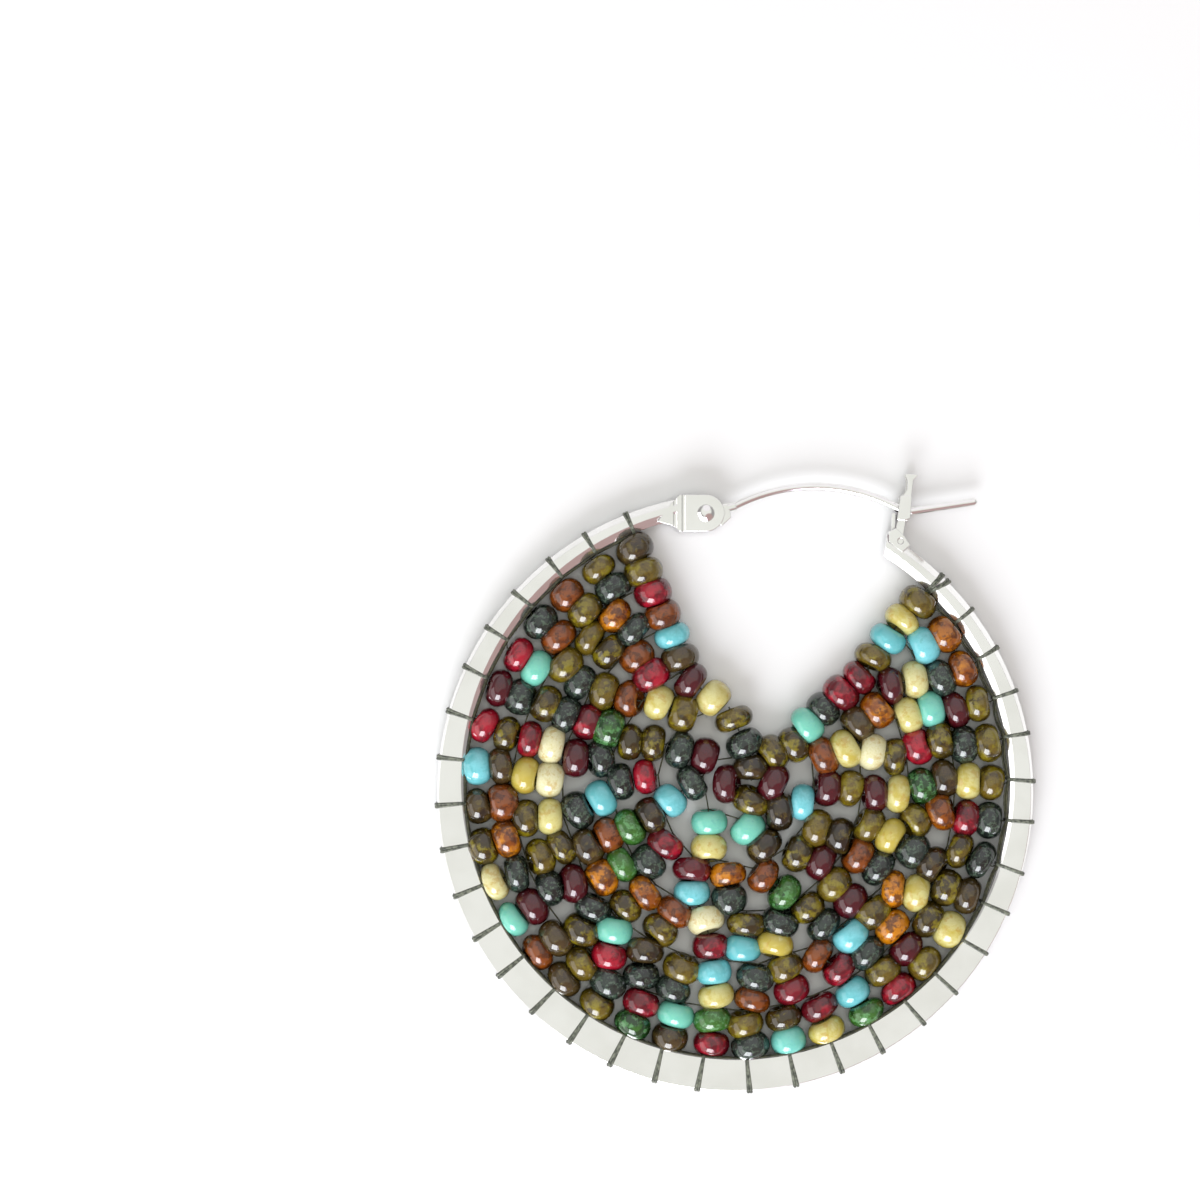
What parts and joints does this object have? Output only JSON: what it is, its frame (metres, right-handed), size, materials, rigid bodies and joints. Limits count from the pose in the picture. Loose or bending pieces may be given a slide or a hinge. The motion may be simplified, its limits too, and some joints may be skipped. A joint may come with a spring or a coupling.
{
  "type": "beaded hoop earring",
  "caption": "Silver-coloured crescent hoop earring filled with a woven field of mixed glass seed beads, with a hinged ear wire that clips into a fork.",
  "frame": {"origin": "on the surface that the earring lies on, under the middle of its outline", "axes": "+Z out of the front face, +Y across the face towards the ear wire, +X across the face towards the catch"},
  "size_m": [0.0527, 0.0546, 0.003],
  "materials": {
    "silver": "polished silver plate",
    "beads": "glossy opaque mottled glass",
    "thread": "waxed beading thread"
  },
  "bodies": {
    "ring": {"hoop": "silver", "hinge_pin": "silver", "bead_panel": "beads"},
    "wire": {"ear_wire": "silver"}
  },
  "joints": [
    {"name": "wire_hinge", "type": "hinge", "parent": "ring", "child": "wire", "pos_m": [-0.00259, 0.02379, 0.0015], "axis": [0, 0, 1], "range_deg": [0, 100]}
  ]
}
